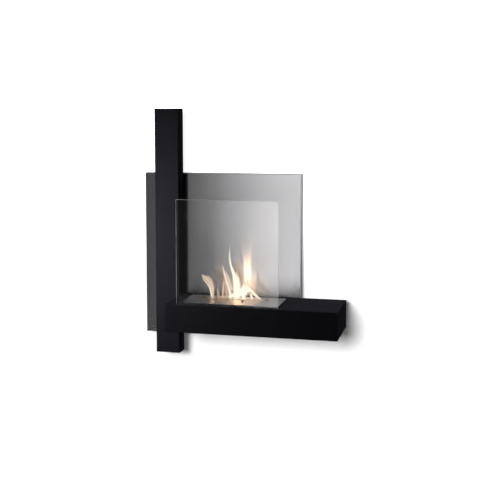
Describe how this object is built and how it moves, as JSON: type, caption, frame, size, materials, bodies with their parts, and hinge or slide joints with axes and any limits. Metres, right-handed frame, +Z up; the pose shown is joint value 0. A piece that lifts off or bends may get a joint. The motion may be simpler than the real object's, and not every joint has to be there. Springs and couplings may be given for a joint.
{
  "type": "bioethanol fireplace",
  "caption": "Wall-hung bioethanol fireplace: tall black column, square brushed steel panel, long black beam with a slotted burner plate and an upright glass screen.",
  "frame": {"origin": "middle of the wall rail's four screw holes, on the wall's plane", "axes": "+Z up, +X along the beam to the right as seen from the front, +Y into the wall"},
  "size_m": [0.84, 0.302, 1],
  "materials": {
    "black_coating": "matt black powder coating with a fine texture",
    "brushed_panel": "brushed stainless steel, grain across",
    "burner_steel": "stainless steel, grain along the plate",
    "zinc": "zinc plated sheet steel",
    "fastener_steel": "zinc plated fastener steel",
    "screen_glass": "clear toughened glass with polished edges",
    "rubber": "black heat-resisting rubber",
    "wool": "white ceramic fibre wool",
    "knob_steel": "turned stainless steel, browned by heat"
  },
  "bodies": {
    "frame": {"back_panel": "brushed_panel", "beam_bolts": "fastener_steel", "beam_carrier": "zinc", "beam_casing": "black_coating", "beam_end_cap": "black_coating", "beam_fixing_strip": "zinc", "beam_joint_plate": "black_coating", "beam_rib_left": "zinc", "beam_rib_middle": "zinc", "beam_rib_right": "zinc", "beam_washers": "fastener_steel", "column_bolts": "fastener_steel", "column_foot_cap": "black_coating", "column_side_strip": "zinc", "column_strip_lower": "zinc", "column_strip_upper": "zinc", "column_top_cap": "black_coating", "column_tube": "black_coating", "column_washers": "fastener_steel", "end_cap_screws": "black_coating", "glass_channel": "zinc", "glass_gasket_back": "rubber", "glass_gasket_front": "rubber", "glass_pads": "rubber", "hanger_rail": "zinc", "heat_tray": "zinc", "lock_bracket_left": "zinc", "lock_bracket_right": "zinc", "lock_screws": "fastener_steel", "side_bolts": "fastener_steel", "side_washers": "fastener_steel", "upright_left": "zinc", "upright_right": "zinc", "wall_buffer_left": "rubber", "wall_buffer_right": "rubber", "wall_rail": "zinc"},
    "burner": {"burner_top_plate": "burner_steel", "burner_tank": "burner_steel", "wool_block": "wool", "wool_retainer": "burner_steel", "slide_guide_left": "burner_steel", "slide_guide_right": "burner_steel"},
    "snuffer": {"snuffer_slide": "burner_steel", "snuffer_knob": "knob_steel"},
    "glass": {"glass_screen": "screen_glass"}
  },
  "joints": [
    {"name": "burner_lift", "type": "slide", "parent": "frame", "child": "burner", "axis": [0, 0, 1], "range_m": [0, 0.08]},
    {"name": "snuffer_travel", "type": "slide", "parent": "burner", "child": "snuffer", "axis": [0, 1, 0], "range_m": [0, 0.03]},
    {"name": "glass_lift", "type": "slide", "parent": "frame", "child": "glass", "axis": [0, 0, 1], "range_m": [0, 0.03]}
  ]
}
